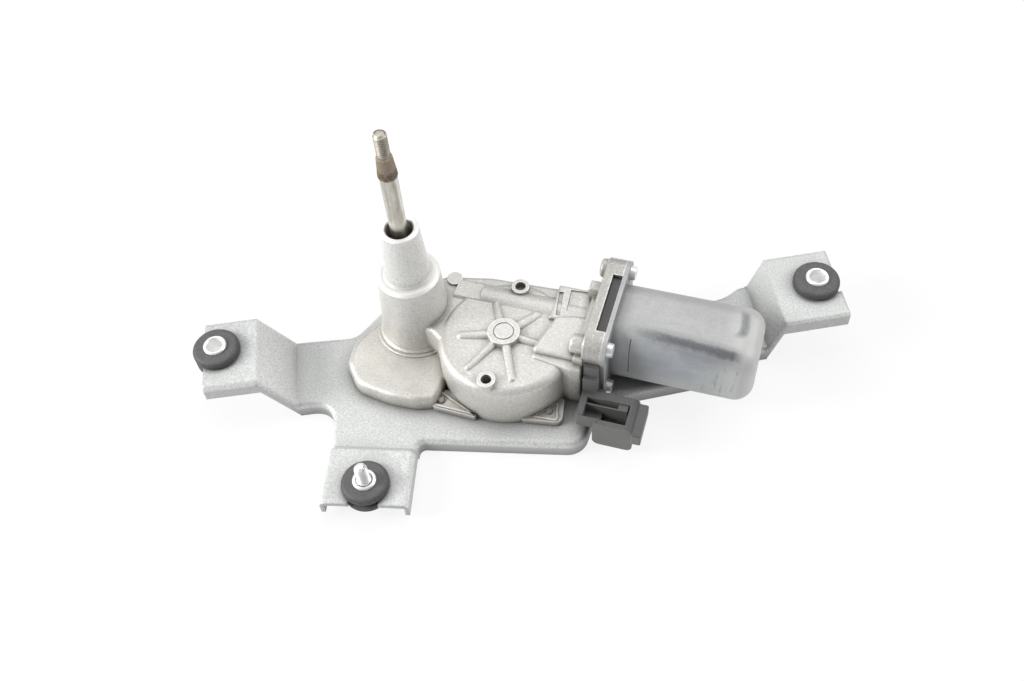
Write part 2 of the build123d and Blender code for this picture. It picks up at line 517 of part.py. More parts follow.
def connecting_rod():
    low, high = ROD_Z
    t = high - low
    rod = box(0, ROD_LEN, -3.0, 3.0, 0, t) + cyl(0, 0, 0, t, 4.2) + cyl(ROD_LEN, 0, 0, t, 4.8)
    rod -= cyl(0, 0, -1, t + 1, 2.45) + cyl(ROD_LEN, 0, -1, t + 1, 2.5)
    rod -= box(7.0, ROD_LEN - 8.5, -1.2, 1.2, t - 0.8, t + 1)
    return Pos(ARM_PIN[0], ARM_PIN[1], low) * Rot(0, 0, degrees(ROD_ANG)) * rod


def crank_pin():
    return cyl(CRANK[0], CRANK[1], ROD_Z[0] - 0.4, WHEEL_BOSS_LOW - 0.3, 2.5) + cyl(CRANK[0], CRANK[1], ROD_Z[0] - 0.8, ROD_Z[0] - 0.02, 3.4)


def wheel_row(z, turn):
    """One cross section of the worm wheel's teeth."""
    tooth = pi * WORM_M / 2 / WHEEL_PITCH_R - 0.16 / WHEEL_PITCH_R
    slope = tan(radians(20)) / WHEEL_PITCH_R
    rows = [(WHEEL_PITCH_R - 1.05 * WORM_M, tooth / 2 + 1.05 * WORM_M * slope), (WHEEL_PITCH_R, tooth / 2), (WHEEL_PITCH_R + 0.9 * WORM_M, tooth / 2 - 0.9 * WORM_M * slope * 1.15)]
    pts = []
    for k in range(WHEEL_N):
        c = pi / 2 + (k + 0.5) * 2 * pi / WHEEL_N + turn
        for r, a in rows:
            pts.append((r * cos(c - a), r * sin(c - a), z))
        for r, a in reversed(rows):
            pts.append((r * cos(c + a), r * sin(c + a), z))
    return make_face(Polyline(*pts, close=True))


def worm_wheel():
    low, high = WHEEL_Z
    twist = WORM_LEAD / (2 * pi * WORM_PITCH_R) / WHEEL_PITCH_R
    mid = (low + high) / 2
    teeth = loft([wheel_row(low, (low - mid) * twist), wheel_row(high, (high - mid) * twist)], ruled=True)
    body = teeth + cyl(0, 0, WHEEL_BOSS_LOW, low + 1, 13.5)
    groove = tube(0, 0, low + 3.2, high + 1, 13.6, 7.2)
    body -= groove
    for i in range(6):
        body += Rot(0, 0, 60 * i) * box(6.5, 14.0, -0.8, 0.8, low + 3.0, high - 0.6)
    body -= cyl(0, 0, 0, 40, 4.05)
    return Pos(WHEEL[0], WHEEL[1], 0) * body


def park_disc():
    """Copper switch track set in the wheel's upper face."""
    ring = tube(WHEEL[0], WHEEL[1], WHEEL_Z[1], WHEEL_Z[1] + 0.35, 15.4, 13.8)
    return ring - box(WHEEL[0] + 8, WHEEL[0] + 18, WHEEL[1] - 3.4, WHEEL[1] + 3.4, WHEEL_Z[1] - 1, WHEEL_Z[1] + 2)


def wheel_spindle():
    return cyl(WHEEL[0], WHEEL[1], WHEEL_BOSS_LOW, HUB_TOP - 1.2, 4.0)


def armature_shaft():
    """Steel shaft with the worm rolled on its free end."""
    root = WORM_PITCH_R - 1.1 * WORM_M
    x0 = WHEEL[0] - 4.5 * WORM_LEAD
    x1 = WHEEL[0] + 4.5 * WORM_LEAD
    core = xcyl(SHAFT2_X[0], SHAFT2_X[1], AXIS_Y, AXIS_Z, SHAFT2_R) + xcyl(x0 - 1.0, x1 + 1.0, AXIS_Y, AXIS_Z, root)
    half = (pi * WORM_M / 2 - 0.16) / 2
    s = tan(radians(20))
    tip = WORM_PITCH_R + 0.9 * WORM_M
    deep = root - 0.3
    prof = [(deep, -half - (WORM_PITCH_R - deep) * s), (tip, -half + 0.9 * WORM_M * s), (tip, half - 0.9 * WORM_M * s), (deep, half + (WORM_PITCH_R - deep) * s)]
    turns = 8
    path = Helix(WORM_LEAD, WORM_LEAD * turns, WORM_PITCH_R)
    face = Plane((0, 0, 0), x_dir=(1, 0, 0), z_dir=(0, -1, 0)) * make_face(Polyline(*prof, close=True))
    thread = sweep(face, path, is_frenet=True)
    # the sweep starts on +X at z = 0; the lie-down turn sends Z to +X and the start to -Z
    thread = Pos(WHEEL[0] - WORM_LEAD * turns / 2 + WORM_LEAD * 0.25 * WORM_TURN, AXIS_Y, AXIS_Z) * Rot(0, 90, 0) * thread
    return core + thread


WORM_TURN = 1.0
SHAFT2_X = (21.6, 157.4)


# ================================================================= motor
def yoke_face(grow=0.0):
    w, h, r = YOKE_W + 2 * grow, YOKE_H + 2 * grow, YOKE_CORNER + grow
    return RectangleRounded(h, w, r)


def along_x(face, x0, x1, y=None, z=None):
    """Carry a face (local X is height, local Y is width) along the motor axis."""
    solid = extrude(face, x1 - x0)
    return Pos(x0, AXIS_Y if y is None else y, AXIS_Z if z is None else z) * Rot(0, 90, 0) * solid


def motor_yoke():
    body = along_x(yoke_face(), YOKE_X[0] + FLANGE_PLATE, YOKE_X[1])
    body = soften(body, END_ROUND, lambda b: b.faces().sort_by(Axis.X)[-1].edges())
    seam = along_x(yoke_face(1.0), 105.7, 106.3) - along_x(yoke_face(-0.4), 105.6, 106.4)
    body -= seam & box(105.0, 107.0, -12.0, 5.0, 13.5, 33.5)      # the short butt seam on the front side
    plate = box(YOKE_X[0], YOKE_X[0] + FLANGE_PLATE, FLANGE_Y[0], FLANGE_Y[1], FLANGE_Z[0], FLANGE_Z[1])
    plate = soften(plate, FLANGE_CORNER, lambda b: b.edges().filter_by(Axis.X))
    body += plate
    hollow = along_x(yoke_face(-YOKE_WALL), YOKE_X[0] - 1, YOKE_X[1] - YOKE_WALL)
    body -= soften(hollow, END_ROUND - YOKE_WALL, lambda b: b.faces().sort_by(Axis.X)[-1].edges())
    body += xcyl(155.6, YOKE_X[1] - YOKE_WALL + 0.2, AXIS_Y, AXIS_Z, 7.6) - xcyl(150, YOKE_X[1] - YOKE_WALL, AXIS_Y, AXIS_Z, 6.0)
    for dy, dz in flange_spots():
        body -= xcyl(90.0, 99.0, AXIS_Y + dy, AXIS_Z + dz, 2.2)
    return body


def flange_screws():
    group = []
    for dy, dz in flange_spots():
        x = YOKE_X[0] + FLANGE_PLATE
        screw = xcyl(x - 10.0, x, 0, 0, 2.0) + xcyl(x, x + 2.6, 0, 0, 3.6, 3.2)
        screw -= Pos(x + 2.6, 0, 0) * Box(2.4, 3.6, 0.9) + Pos(x + 2.6, 0, 0) * Box(2.4, 0.9, 3.6)
        group.append(Pos(0, AXIS_Y + dy, AXIS_Z + dz) * screw)
    return group


CONN_X, CONN_Y, CONN_Z = (96.8, 115.4), (-37.0, -19.6), (-3.4, 14.0)
SOCKET_X, SOCKET_Y = (99.2, 111.6), (-34.6, -23.6)   # inside of the plug socket
TRAY_X = 91.4
KEY_Y = (-27.0, -26.2)
BLADE_Y = -32.4


def brush_holder():
    """Moulded plate between the flanges with the plug socket on its arm."""
    body = box(SLOT_X[0] + 0.2, SLOT_X[1] - 0.05, SLOT_Y[0] + 0.25, SLOT_Y[1] - 0.25, 3.7, 37.6)
    body += box(SLOT_X[1] - 1.0, SLOT_X[1] + 2.0, SLOT_Y[0] + 1.2, SLOT_Y[1] - 0.6, 5.0, 32.0) & along_x(yoke_face(-YOKE_WALL - 0.25), 90.0, 100.0)
    body += along_x(yoke_face(-YOKE_WALL - 0.25), SLOT_X[1] + 0.05, 101.5)
    body -= xcyl(80, 120, AXIS_Y, AXIS_Z, 10.6)
    for side in (-1, 1):
        y0, y1 = AXIS_Y + side * 10.2, AXIS_Y + side * 17.2
        body += box(99.0, 108.6, min(y0, y1), max(y0, y1), AXIS_Z - 4.6, AXIS_Z + 4.6)
    body -= box(101.6, 107.6, AXIS_Y - 16.3, AXIS_Y + 16.3, AXIS_Z - 3.6, AXIS_Z + 3.6)
    # neck down the front of the flange
    body += box(SLOT_X[0] - 2.2, SLOT_X[1] - 0.05, FLANGE_Y[0] - 2.6, SLOT_Y[0] + 1.6, HOLDER_Z[0], HOLDER_Z[1])
    body += box(SLOT_X[0] - 2.2, SLOT_X[1] - 0.05, FLANGE_Y[0] - 5.0, FLANGE_Y[0] - 0.5, HOLDER_Z[0], HOLDER_Z[1] - 6.0)
    body += soften(box(SLOT_X[0] - 2.2, CONN_X[0] + 2, CONN_Y[0] + 3.0, FLANGE_Y[0] - 2.0, 4.0, CONN_Z[1] - 0.6), 1.0, lambda b: b.edges())
    socket = box(CONN_X[0], CONN_X[1], CONN_Y[0], CONN_Y[1], CONN_Z[0], CONN_Z[1])
    socket = soften(socket, 3.2, lambda b: b.edges().filter_by(Axis.Y))
    body += socket
    body -= box(SOCKET_X[0], SOCKET_X[1], SOCKET_Y[0], SOCKET_Y[1], CONN_Z[0] + 4.0, CONN_Z[1] + 1)
    # the mouth runs on over the arm as a shallow tray, with a key rail along the back
    body -= box(TRAY_X, SOCKET_X[1], SOCKET_Y[0] + 0.8, SOCKET_Y[1], CONN_Z[1] - 6.5, CONN_Z[1] + 1)
    body += box(TRAY_X - 0.5, CONN_X[1] - 8.5, KEY_Y[0], KEY_Y[1], CONN_Z[0] + 3.5, CONN_Z[1] - 1.2) & box(SLOT_X[0], CONN_X[1], -50, 0, 4.2, CONN_Z[1])
    body += box(106.4, SOCKET_X[1] - 0.8, KEY_Y[0], SOCKET_Y[1] + 0.5, CONN_Z[0] + 3.5, CONN_Z[1] - 1.0)      # key post at the end of the rail
    # keying block with the latch bar on the outer side
    lock = box(CONN_X[1] - 0.5, CONN_X[1] + 4.2, CONN_Y[0] - 1.6, CONN_Y[1] - 1.0, 5.5, 12.8)
    body += soften(lock, 0.8, lambda b: b.edges())
    for x in TERMINALS:
        body -= blade(x)
    for dy, dz in flange_spots():
        body -= xcyl(84.0, 97.0, AXIS_Y + dy, AXIS_Z + dz, 2.4)
    return body


TERMINALS = [SOCKET_X[0] + 1.8 + 2.9 * i for i in range(4)]


def blade(x):
    y = BLADE_Y
    return box(x - 0.9, x + 0.9, y - 0.35, y + 0.35, CONN_Z[0] + 1.0, CONN_Z[1] - 7.5)


def connector_terminals():
    return [blade(x) for x in TERMINALS]


def brushes():
    group = []
    for side in (-1, 1):
        y0, y1 = AXIS_Y + side * 8.6, AXIS_Y + side * 13.6
        block = box(102.1, 107.1, min(y0, y1), max(y0, y1), AXIS_Z - 3.4, AXIS_Z + 3.4)
        group.append(block - xcyl(90, 120, AXIS_Y, AXIS_Z, 9.05))
    return group


def brush_springs():
    group = []
    for side in (-1, 1):
        y0, y1 = AXIS_Y + side * 13.62, AXIS_Y + side * 16.26
        mid = (y0 + y1) / 2
        ring = Pos(104.6, mid, AXIS_Z) * Rot(90, 0, 0) * (Cylinder(2.2, abs(y1 - y0)) - Cylinder(1.5, 10))
        group.append(ring)
    return group


def commutator():
    body = xcyl(99.5, 110.5, AXIS_Y, AXIS_Z, 9.0) + xcyl(110.5, 112.0, AXIS_Y, AXIS_Z, 10.0)
    body -= xcyl(90, 120, AXIS_Y, AXIS_Z, SHAFT2_R)
    for i in range(10):
        cut = Pos(104.0, 0, 9.0) * Box(14, 0.5, 1.0)
        body -= Pos(0, AXIS_Y, AXIS_Z) * Rot(36 * i, 0, 0) * cut
    return body


CORE_X, CORE_R = (116.5, 147.5), 12.6
TURNS = 4.0            # end turns stand this far past the core


def armature_core():
    """Laminated core with ten winding slots."""
    body = xcyl(CORE_X[0], CORE_X[1], 0, 0, CORE_R)
    for i in range(10):
        slot = (box(CORE_X[0] - 5, CORE_X[1] + 5, -1.9, 1.9, CORE_R - 6.1, CORE_R - 1)
                + box(CORE_X[0] - 5, CORE_X[1] + 5, -0.7, 0.7, CORE_R - 1.6, CORE_R + 1.4))
        body -= Rot(36 * i + 18, 0, 0) * slot
    body -= xcyl(CORE_X[0] - 5, CORE_X[1] + 5, 0, 0, SHAFT2_R)
    return Pos(0, AXIS_Y, AXIS_Z) * body


def armature_windings():
    """Copper in the slots with the end turns, one winding."""
    x0, x1, r = CORE_X[0] - 0.1, CORE_X[1] + 0.1, CORE_R - 1
    body = Part() + [Rot(36 * i + 18, 0, 0) * box(x0 - 1, x1 + 1, -1.8, 1.8, CORE_R - 6, CORE_R - 1.2) for i in range(10)]
    for x, d in ((x0, -TURNS + 0.1), (x1, TURNS - 0.1)):
        prof = [(x, 5.0), (x, r), (x + 0.6 * d, r), (x + d, r - 1.6), (x + d, 6.4), (x + 0.7 * d, 5.0)]
        body += revolve(Plane.XY * make_face(Polyline(*prof, close=True)), Axis.X)
    return Pos(0, AXIS_Y, AXIS_Z) * body


def magnets():
    shell = along_x(yoke_face(-YOKE_WALL), 113.0, 150.0) - xcyl(100, 160, AXIS_Y, AXIS_Z, 13.3)
    group = []
    for side in (-1, 1):
        y0, y1 = AXIS_Y + side * 8.0, AXIS_Y + side * 30
        piece = shell & box(110, 160, min(y0, y1), max(y0, y1), AXIS_Z - 30, AXIS_Z + 30)
        group.append(max(piece.solids(), key=lambda s: s.volume))
    return group


def motor_bearings():
    return [xcyl(23.0, 29.0, AXIS_Y, AXIS_Z, TUNNEL_BORE) - xcyl(20, 40, AXIS_Y, AXIS_Z, SHAFT2_R + 0.03),
            xcyl(76.0, 86.0, AXIS_Y, AXIS_Z, 6.9) - xcyl(70, 90, AXIS_Y, AXIS_Z, SHAFT2_R + 0.03),
            xcyl(155.0, 160.0, AXIS_Y, AXIS_Z, 6.0) - xcyl(150, 162, AXIS_Y, AXIS_Z, SHAFT2_R + 0.03)]


def thrust_ball():
    r = (YOKE_X[1] - YOKE_WALL - SHAFT2_X[1]) / 2 - 0.05
    return Pos(SHAFT2_X[1] + 0.05 + r, AXIS_Y, AXIS_Z) * Sphere(r)


def thrust_plug():
    return xcyl(19.4, 21.5, AXIS_Y, AXIS_Z, TUNNEL_BORE)


PARTS = {
    "mounting_bracket": mounting_bracket,
    "grommet_left": lambda: grommet(ARM_L), "grommet_front": lambda: grommet(ARM_F), "grommet_right": lambda: grommet(ARM_R),
    "sleeve_left": lambda: sleeve(ARM_L), "sleeve_front": lambda: sleeve(ARM_F), "sleeve_right": lambda: sleeve(ARM_R),
    "mounting_bolt": mounting_bolt,
    "gear_housing": gear_housing, "housing_gasket": housing_gasket, "cover_screws": cover_screws,
    "output_shaft": output_shaft, "output_pinion": output_pinion, "tower_bushes": tower_bushes,
    "thrust_washers": thrust_washers, "retaining_ring": retaining_ring, "shaft_seal": shaft_seal,
    "sector_gear": sector_gear, "sector_pin": sector_pin, "arm_pin": arm_pin, "connecting_rod": connecting_rod, "crank_pin": crank_pin,
    "worm_wheel": worm_wheel, "park_disc": park_disc, "wheel_spindle": wheel_spindle, "armature_shaft": armature_shaft,
    "motor_yoke": motor_yoke, "flange_screws": flange_screws, "brush_holder": brush_holder, "connector_terminals": connector_terminals,
    "brushes": brushes, "brush_springs": brush_springs, "commutator": commutator, "armature_core": armature_core,
    "armature_windings": armature_windings, "magnets": magnets, "motor_bearings": motor_bearings, "thrust_ball": thrust_ball,
    "thrust_plug": thrust_plug,
}


def main():
    os.makedirs("parts", exist_ok=True)
    low, high = [1e9] * 3, [-1e9] * 3
    for name, make in PARTS.items():
        made = make()
        pieces = made if isinstance(made, list) else [made]
        moved = []
        for piece in pieces:
            for solid in piece.solids():
                moved.append(Pos(*ORIGIN) * solid)
        shape = Compound(children=moved) if len(moved) > 1 else moved[0]
        box_ = shape.bounding_box()
        for i, (a, b) in enumerate(zip(box_.min, box_.max)):
            low[i], high[i] = min(low[i], a), max(high[i], b)
        export_step(shape, "parts/" + name + ".step")
        print(name, len(moved), round(shape.volume, 1), "valid" if shape.is_valid else "INVALID")
    print("box", [round(v, 3) for v in low], [round(v, 3) for v in high])


main()
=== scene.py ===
from math import cos, hypot, pi, radians, sin

import bmesh
import bpy
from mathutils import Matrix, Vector


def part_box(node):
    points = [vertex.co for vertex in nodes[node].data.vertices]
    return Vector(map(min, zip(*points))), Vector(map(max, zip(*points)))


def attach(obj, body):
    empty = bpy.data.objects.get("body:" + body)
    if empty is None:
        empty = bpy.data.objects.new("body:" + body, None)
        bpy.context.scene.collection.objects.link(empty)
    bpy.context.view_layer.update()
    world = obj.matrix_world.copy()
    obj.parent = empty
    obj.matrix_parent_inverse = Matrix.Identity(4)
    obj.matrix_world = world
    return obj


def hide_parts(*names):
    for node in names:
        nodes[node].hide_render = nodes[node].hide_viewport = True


# ---------------------------------------------------------------- bench and camera
# The motor stands on a bench on the lowest edge of its bracket, with its output
# shaft upright. The camera looks down on it from the front, over the front arm.
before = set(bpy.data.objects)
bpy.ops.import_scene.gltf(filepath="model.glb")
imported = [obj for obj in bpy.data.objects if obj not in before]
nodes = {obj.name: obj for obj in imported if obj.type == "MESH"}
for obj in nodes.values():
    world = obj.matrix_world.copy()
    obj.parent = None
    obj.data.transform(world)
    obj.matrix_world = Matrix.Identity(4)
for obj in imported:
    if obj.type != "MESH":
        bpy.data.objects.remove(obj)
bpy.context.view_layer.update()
MM = 0.001

lens = bpy.data.cameras.new("bench_lens")
lens.sensor_fit, lens.sensor_width, lens.lens = "HORIZONTAL", 36.0, 39.73
lens.clip_start, lens.clip_end = 0.05, 20.0
camera = bpy.data.objects.new("bench_camera", lens)
camera.location = (0.10982, -0.28693, 0.45868)
camera.rotation_euler = (radians(35.661), radians(3.275), radians(16.648))
bpy.context.scene.collection.objects.link(camera)
bpy.context.scene.camera = camera

scene = bpy.context.scene
scene.view_settings.view_transform = "Standard"

# ---------------------------------------------------------------- mounting bracket
# One pressing of 2 mm steel with a turned-down rim and three cranked arms, coated
# satin grey after pressing. The coat is finely speckled and clouded, and rubbed on
# the edges. Painted highlights lighten the slopes and bends, and painted shade
# darkens the walls, the corners and the ground near the housing and the can.
RIGHT, BACK, UP = 0, 1, 2


class Level:
    """A number that varies over a surface; sums on it add Math nodes."""

    def __init__(self, wiring, socket):
        self.wiring, self.socket = wiring, socket

    def maths(self, operation, *values, clamp=False):
        settings = {"operation": operation, "use_clamp": clamp}
        return self.wiring.node("ShaderNodeMath", settings, dict(enumerate(values)))

    def __add__(self, other):
        return self.maths("ADD", self, other)

    __radd__ = __add__

    def __sub__(self, other):
        return self.maths("SUBTRACT", self, other)

    def __rsub__(self, other):
        return self.maths("SUBTRACT", other, self)

    def __mul__(self, other):
        return self.maths("MULTIPLY", self, other)

    __rmul__ = __mul__

    def __pow__(self, other):
        return self.maths("POWER", self, other)

    def between(self, low, high):
        """0 below low, 1 above high, straight in between."""
        return self.maths("MULTIPLY", self - low, 1.0 / (high - low), clamp=True)


class Wiring:
    """Adds nodes to a node tree and links them."""

    def __init__(self, tree):
        self.tree = tree

    def node(self, kind, settings=None, sockets=None, out=0):
        made = self.tree.nodes.new(kind)
        for name, value in (settings or {}).items():
            setattr(made, name, value)
        for name, value in (sockets or {}).items():
            self.plug(made.inputs[name], value)
        return Level(self, made.outputs[out])

    def plug(self, entry, value):
        if isinstance(value, Level):
            self.tree.links.new(value.socket, entry)
        elif entry.type == "RGBA":
            entry.default_value = (*value, 1)
        else:
            entry.default_value = value


class Finish(Wiring):
    """The material of one kind of surface while it is put together."""

    def __init__(self, name, **sockets):
        self.material = bpy.data.materials.new(name)
        self.material.use_nodes = True
        super().__init__(self.material.node_tree)
        self.shader = self.tree.nodes["Principled BSDF"]
        self.place = self.node("ShaderNodeTexCoord", out="Object")
        self.feed(**sockets)

    def feed(self, **sockets):
        for name, value in sockets.items():
            self.plug(self.shader.inputs[name.replace("_", " ")], value)

    def noise(self, size, detail, rough, stretch=(1, 1, 1), shift=(0, 0, 0)):
        """Cloudy 0..1 pattern whose features are about size millimetres wide."""
        where = {"Vector": self.place, "Location": shift, "Scale": stretch}
        spot = self.node("ShaderNodeMapping", {}, where)
        pattern = {"Vector": spot, "Scale": 1000.0 / size, "Detail": detail, "Roughness": rough}
        return self.node("ShaderNodeTexNoise", {}, pattern)

    def along(self, axis):
        """Place along one axis of the motor in millimetres."""
        return self.node("ShaderNodeSeparateXYZ", {}, {"Vector": self.place}, out=axis) * 1000.0

    def looks_up(self):
        """1 where the face looks up, 0 on a wall, -1 where it looks down."""
        turned_to = self.node("ShaderNodeNewGeometry", out="Normal")
        return self.node("ShaderNodeSeparateXYZ", {}, {"Vector": turned_to}, out=UP)

    def mix(self, share, first, second):
        colours = {0: share, 6: first, 7: second}
        return self.node("ShaderNodeMix", {"data_type": "RGBA"}, colours, out=2)

    def layers(self, ground, *coats):
        """Lays colours over a ground one after another, each by its own share."""
        for share, colour in coats:
            ground = self.mix(share, ground, colour)
        return ground

    def rounded(self, radius):
        """Normal with every edge rounded to a radius in millimetres."""
        return self.node("ShaderNodeBevel", {"samples": 6}, {"Radius": radius * MM})

    def edges(self, radius, gain):
        """1 on edges and corners, 0 on open faces."""
        normals = {0: self.rounded(radius), 1: self.node("ShaderNodeNewGeometry", out="Normal")}
        lean = self.node("ShaderNodeVectorMath", {"operation": "DOT_PRODUCT"}, normals, out="Value")
        return (1 - lean).between(0.0, 1.0 / gain)

    def corners(self, reach):
        """1 deep in corners and gaps, 0 in the open, within a reach in millimetres."""
        distance = {"Distance": reach * MM}
        sky = self.node("ShaderNodeAmbientOcclusion", {"samples": 6}, distance, out="AO")
        return (1 - sky).between(0.042, 0.526)

    def relief(self, height, depth, under=None):
        """Bump of depth millimetres from a 0..1 height."""
        sockets = {"Height": height, "Distance": depth * MM, "Strength": 1.0}
        if under is not None:
            sockets["Normal"] = under
        return self.node("ShaderNodeBump", {}, sockets)


SHARP_BEND = 28


def dress(finish, *names):
    """Gives CAD nodes a finish."""
    for name in names:
        mesh = nodes[name].data
        mesh.materials.clear()
        mesh.materials.append(finish.material)
        mesh.shade_smooth()
        mesh.set_sharp_from_angle(angle=radians(SHARP_BEND))


COAT_DARK, COAT_PALE, COAT_RUBBED_AND_LIT = (0.49, 0.50, 0.495), (0.70, 0.71, 0.70), (0.86, 0.87, 0.85)
COAT_CLOUDED, COAT_WALL_SHADE = (0.50, 0.51, 0.495), (0.42, 0.425, 0.42)
CORNER_SHADE, HOUSING_SHADE, PIT = (0.17, 0.17, 0.165), (0.26, 0.265, 0.265), (0.34, 0.33, 0.31)

coat = Finish("satin_grey_coat")
speck = coat.noise(0.9, 3, 0.7)
cloud = coat.noise(22, 3, 0.55).between(0.42, 0.72)
blots = coat.noise(6.0, 5, 0.7, shift=(7, 2, 5)).between(0.50, 0.70)
pits = coat.noise(5.5, 5, 0.75, shift=(3, 1, 2)).between(0.66, 0.72)
# Edges rubbed by wear, also lightened as a painted highlight along the bends.
rub_and_bend_highlight = coat.edges(1.2, 5.0) * coat.noise(3.2, 4, 0.7).between(0.36, 0.62)
up_face = coat.looks_up()
# Painted shade: faces that turn sideways are darker.
wall_shade = 1 - up_face.between(0.05, 0.35)
# Painted highlight: tilted faces between flat and wall are lighter.
slope_highlight = up_face.between(0.15, 0.4) * (1 - up_face.between(0.6, 0.85))
coat.feed(
    Base_Color=coat.layers(
        coat.mix(speck.between(0.38, 0.62), COAT_DARK, COAT_PALE),
        (cloud * 0.35 + blots * 0.3, COAT_CLOUDED),
        (wall_shade * 0.3, COAT_WALL_SHADE),
        (slope_highlight * speck.between(0.25, 0.75) + rub_and_bend_highlight * 0.5, COAT_RUBBED_AND_LIT),
        # Painted shade: darker in the corners, and broadly near the housing and the can.
        (coat.corners(8.0) * 0.7, CORNER_SHADE),
        (coat.corners(40.0) * 0.3, HOUSING_SHADE),
        (pits * 0.5, PIT),
    ),
    Metallic=rub_and_bend_highlight * 0.2 + 0.35,
    Roughness=0.42 + speck * 0.2 - rub_and_bend_highlight * 0.1,
    Normal=coat.relief(coat.noise(1.3, 3, 0.6), 0.05, coat.rounded(1.6)),
)
dress(coat, "mounting_bracket")

# ---------------------------------------------------------------- grommets
# Three moulded rubber grommets pressed into the slots at the arm ends. The
# moulding is matt and nearly black, with pale dust rubbed into its upper rim, and
# a round-shouldered lip above and below the groove that grips the sheet.
TURNED_SIDES = 64
SHARP_EDGE = 35
GROMMET_R, GROOVE_R, GROMMET_BORE_R = 11.0, 7.6, 5.4
GROOVE_TOP, SHEET = 6.0, 2.0
LIP_ROUND, FOOT_ROUND = 2.2, 1.6
LIP_IN, LIP_UP = 0.8, 0.9


def turned(profile, x, y):
    """A lathe-turned solid from (radius, height) pairs in millimetres."""
    work = bmesh.new()
    points = [work.verts.new((r * MM, 0, z * MM)) for r, z in profile]
    edges = [work.edges.new(pair) for pair in zip(points, points[1:])]
    bmesh.ops.spin(work, geom=points + edges, cent=(0, 0, 0), axis=(0, 0, 1), angle=2 * pi,
                   steps=TURNED_SIDES, use_merge=True)
    bmesh.ops.remove_doubles(work, verts=work.verts, dist=1e-6)
    bmesh.ops.recalc_face_normals(work, faces=work.faces)
    bmesh.ops.translate(work, verts=work.verts, vec=(x, y, 0))
    return work


def finish_piece(name, work, finish, body, stands_for=()):
    """Turns a bmesh into a piece that rides on a body."""
    mesh = bpy.data.meshes.new(name)
    work.to_mesh(mesh)
    work.free()
    piece = bpy.data.objects.new(name, mesh)
    scene.collection.objects.link(piece)
    mesh.materials.append(finish.material)
    mesh.shade_smooth()
    mesh.set_sharp_from_angle(angle=radians(SHARP_EDGE))
    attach(piece, body)
    if stands_for:
        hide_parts(*stands_for)


def middle(name):
    """A node's axis in metres and its two ends in millimetres."""
    low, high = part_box(name)
    return (low[0] + high[0]) / 2, (low[1] + high[1]) / 2, low[2] / MM, high[2] / MM


RUBBER_BLACK, RUBBER_DUST = (0.055, 0.055, 0.057), (0.28, 0.275, 0.265)

rubber = Finish("dusty_rubber")
dust = rubber.noise(0.9, 4, 0.75).between(0.45, 0.75)
upper_rim = rubber.looks_up().between(0.5, 1.0)
rubber.feed(
    Base_Color=rubber.mix(dust * 0.35 + upper_rim * 0.12, RUBBER_BLACK, RUBBER_DUST),
    Roughness=0.55 + dust * 0.25,
    Normal=rubber.relief(rubber.noise(0.7, 3, 0.6), 0.03, rubber.rounded(0.35)),
)

quarter = [radians(15 * step) for step in range(7)]
for arm in ("left", "front", "right"):
    x, y, low, high = middle("grommet_" + arm)
    sheet = low + GROOVE_TOP
    foot = [(GROMMET_R - FOOT_ROUND + FOOT_ROUND * sin(t), low + FOOT_ROUND - FOOT_ROUND * cos(t))
            for t in quarter]
    lip = [(GROMMET_R - LIP_ROUND + LIP_ROUND * cos(t), sheet + SHEET + LIP_ROUND * sin(t))
           for t in quarter]
    groove = [
        (GROMMET_R, sheet - SHEET - LIP_UP), (GROMMET_R - LIP_IN, sheet - SHEET),
        (GROOVE_R, sheet - SHEET), (GROOVE_R, sheet),
        (GROMMET_R - LIP_IN, sheet), (GROMMET_R, sheet + LIP_UP),
    ]
    bore = [(GROMMET_BORE_R, high), (GROMMET_BORE_R, low)]
    ring = turned([(GROMMET_BORE_R, low), *foot, *groove, *lip, *bore], x, y)
    finish_piece("grommet_moulded_" + arm, ring, rubber, "housing",
                 ["grommet_" + arm])

# ---------------------------------------------------------------- sleeves
# Turned steel sleeves inside the grommets, bright zinc plated, with the faint
# rings of the tool on their end faces. Painted shade darkens their gaps and bores.
ZINC_BRIGHT, ZINC_DULL, ZINC_GAP_SHADE = (0.96, 0.96, 0.96), (0.84, 0.835, 0.81), (0.22, 0.22, 0.21)

zinc = Finish("bright_zinc", Metallic=0.6)
blot = zinc.noise(3.0, 3, 0.6)
zinc.feed(
    Base_Color=zinc.layers(
        zinc.mix(blot.between(0.45, 0.75), ZINC_BRIGHT, ZINC_DULL),
        # Painted shade in gaps and recesses.
        (zinc.corners(1.6) * 0.15, ZINC_GAP_SHADE),
    ),
    Roughness=0.28 + blot * 0.2,
    Normal=zinc.relief(zinc.noise(0.5, 2, 0.5, stretch=(1, 1, 6)), 0.015, zinc.rounded(0.15)),
)
dress(zinc, "sleeve_left", "sleeve_front", "sleeve_right")

# ---------------------------------------------------------------- mounting bolt
# A hexagon bolt passed up through the front sleeve, zinc plated, with a plain
# shank in the sleeve and an M6 rolled thread with a rounded point above it.
THREAD_R, THREAD_CORE, PITCH, THREAD_STEPS = 3.0, 2.5, 1.0, 28
ROOT_HALF, ROOT_SUNK, CREST_HALF, CREST_WORN = 0.44, 0.1, 0.07, 0.04
RUN_IN, POINT_TAPER = 0.8, 0.8
SHANK_R, WASHER_R, WASHER_TOP = 3.4, 7.4, 5.2
HEAD_R, HEAD_FLAT, HEAD_FACE_R, HEAD_CHAMFER, HEAD_H = 4.75, 4.25, 4.1, 0.35, 3.4


def place_of(vert, x, y):
    """A vertex's radius and height round an upright axis, in millimetres."""
    return hypot(vert.co.x - x, vert.co.y - y) / MM, vert.co.z / MM


def set_radius(vert, x, y, share):
    """Moves a vertex to a share of its radius round an upright axis."""
    vert.co.x, vert.co.y = x + (vert.co.x - x) * share, y + (vert.co.y - y) * share


